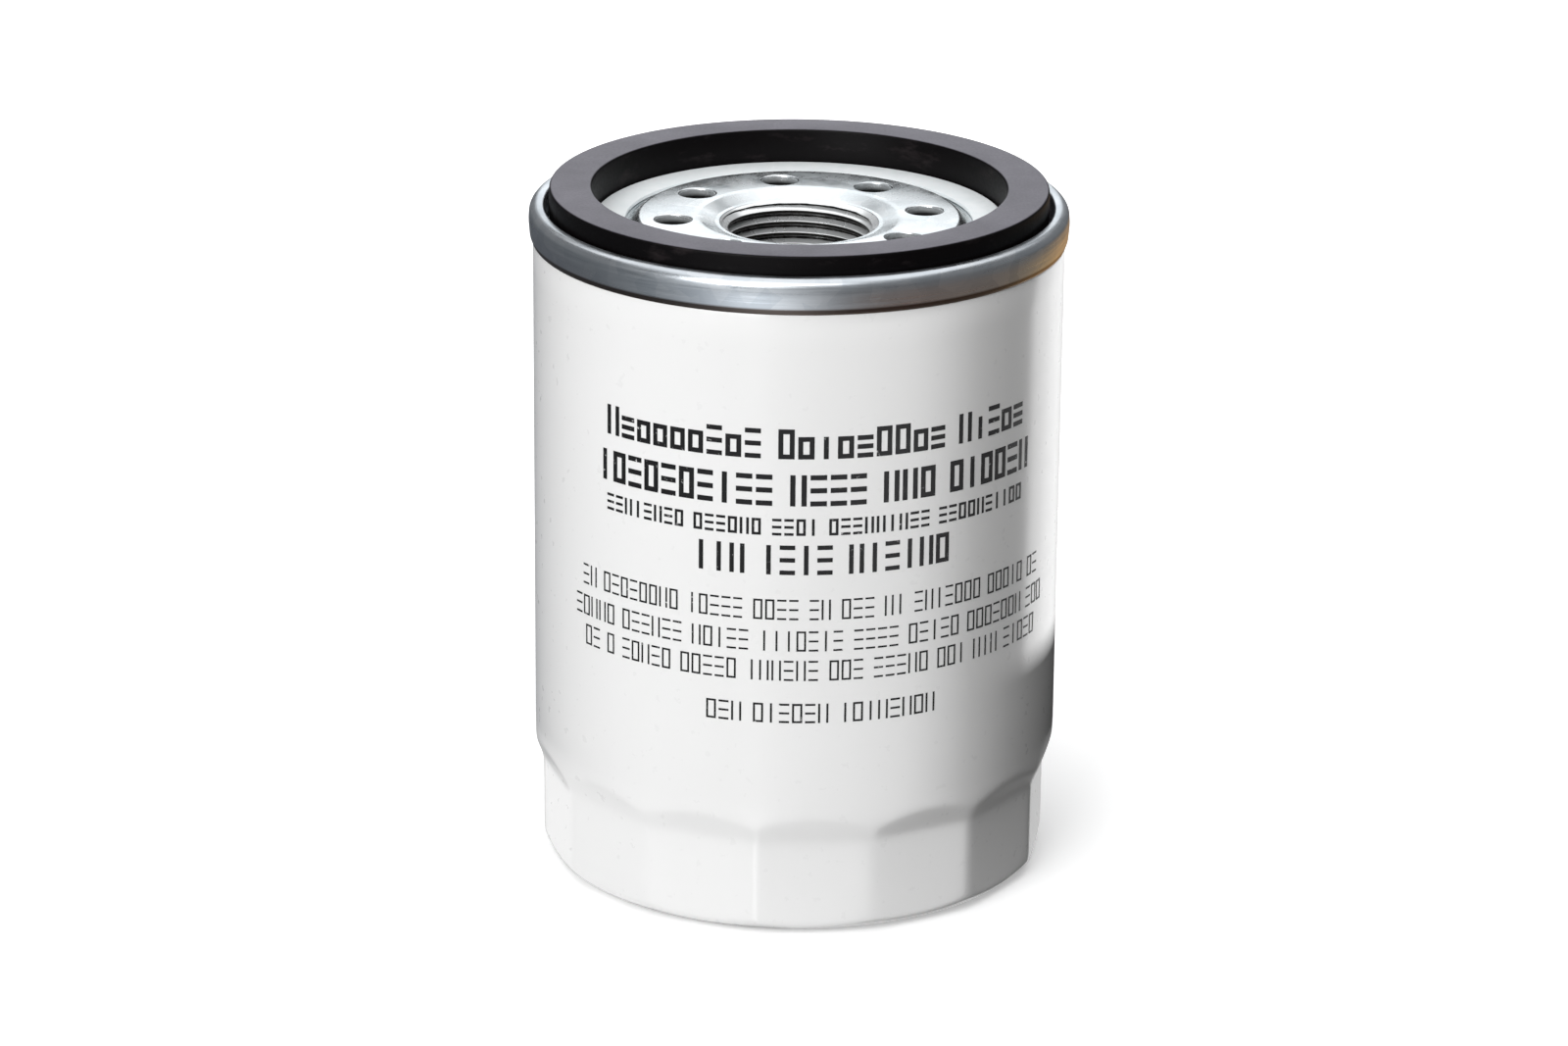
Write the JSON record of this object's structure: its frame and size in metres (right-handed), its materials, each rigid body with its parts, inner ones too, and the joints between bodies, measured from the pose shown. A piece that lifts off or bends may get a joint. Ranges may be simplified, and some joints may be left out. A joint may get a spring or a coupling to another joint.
{
  "type": "spin-on oil filter",
  "caption": "Small-engine spin-on oil filter: white fluted steel can with rolled lid, black face gasket, threaded base plate, pleated element, bypass and anti-drain valves inside.",
  "frame": {"origin": "centre of the flat ring of the closed end, on the plane the filter stands on", "axes": "+Z along the filter's axis, out of the threaded end; -Y is the side that faces the viewer"},
  "size_m": [0.0694, 0.0696, 0.0908],
  "materials": {
    "painted_case": "glossy white paint baked on drawn steel",
    "plated_lid": "thin zinc-plated steel sheet, bright with faint spangle",
    "plated_plate": "thick zinc-plated steel plate, satin",
    "gasket_rubber": "matte black moulded nitrile rubber",
    "valve_rubber": "matte black moulded rubber, oiled",
    "seam_sealant": "dull grey-green sealing compound",
    "tinned_steel": "thin tinned steel sheet, satin",
    "tube_steel": "plain steel tube, satin",
    "filter_paper": "tan resin-treated filter paper, matte",
    "potting_compound": "grey cured adhesive, matte",
    "plated_valve_parts": "zinc-plated turned steel, satin",
    "spring_steel": "oiled spring wire, dark satin"
  },
  "bodies": {
    "housing": {"case": "painted_case", "seaming_lid": "plated_lid", "seam_compound": "seam_sealant", "gasket": "gasket_rubber", "base_plate": "plated_plate", "support_spring": "spring_steel"},
    "element": {"top_end_cap": "tinned_steel", "top_potting": "potting_compound", "pleated_media": "filter_paper", "media_clip": "tinned_steel", "centre_tube": "tube_steel", "bottom_potting": "potting_compound", "bottom_end_cap": "tinned_steel", "spring_seat": "tinned_steel", "bypass_seat": "plated_valve_parts", "bypass_cage": "tinned_steel", "bypass_spring": "spring_steel"},
    "bypass_valve": {"bypass_poppet": "plated_valve_parts", "bypass_seal": "gasket_rubber"},
    "anti_drain_lip": {"anti_drain_valve": "valve_rubber"}
  },
  "joints": [
    {"name": "element_float", "type": "slide", "parent": "housing", "child": "element", "axis": [0, 0, 1], "range_m": [-0.0015, 0], "deforming": ["support_spring"]},
    {"name": "bypass_open", "type": "slide", "parent": "element", "child": "bypass_valve", "axis": [0, 0, 1], "range_m": [0, 0.003], "deforming": ["bypass_spring"]},
    {"name": "anti_drain_flex", "type": "slide", "parent": "housing", "child": "anti_drain_lip", "axis": [0, 0, 1], "range_m": [-0.0012, 0], "deforming": ["anti_drain_valve"]}
  ]
}
